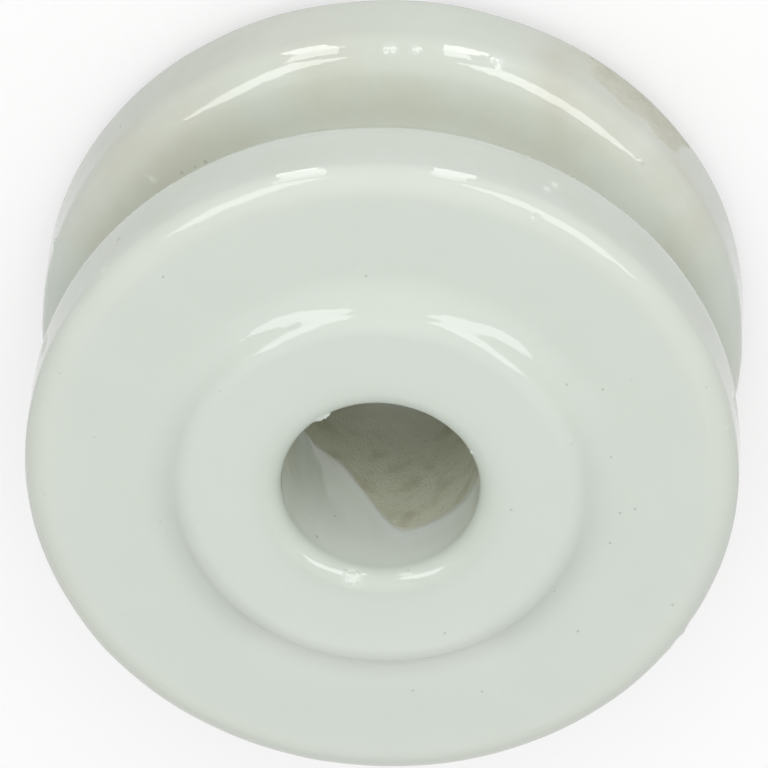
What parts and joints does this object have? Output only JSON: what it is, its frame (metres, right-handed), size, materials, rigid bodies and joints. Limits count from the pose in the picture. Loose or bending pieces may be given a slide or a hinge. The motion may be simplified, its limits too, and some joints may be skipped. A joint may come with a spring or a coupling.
{
  "type": "fence corner insulator",
  "caption": "White glazed porcelain spool insulator for a fence corner: a bored hub between round flanges, with a groove for the wire and a low boss on each face.",
  "frame": {"origin": "centre of the bore at the lower end face, on which the insulator stands", "axes": "+Z along the bore, up through both flanges; the body is round about Z, so X and Y are free"},
  "size_m": [0.045, 0.045, 0.0258],
  "materials": {
    "glazed_porcelain": "glossy white glaze, cream where it thins over the edges, with small unglazed patches"
  },
  "bodies": {
    "root": {"insulator_body": "glazed_porcelain"}
  },
  "joints": []
}
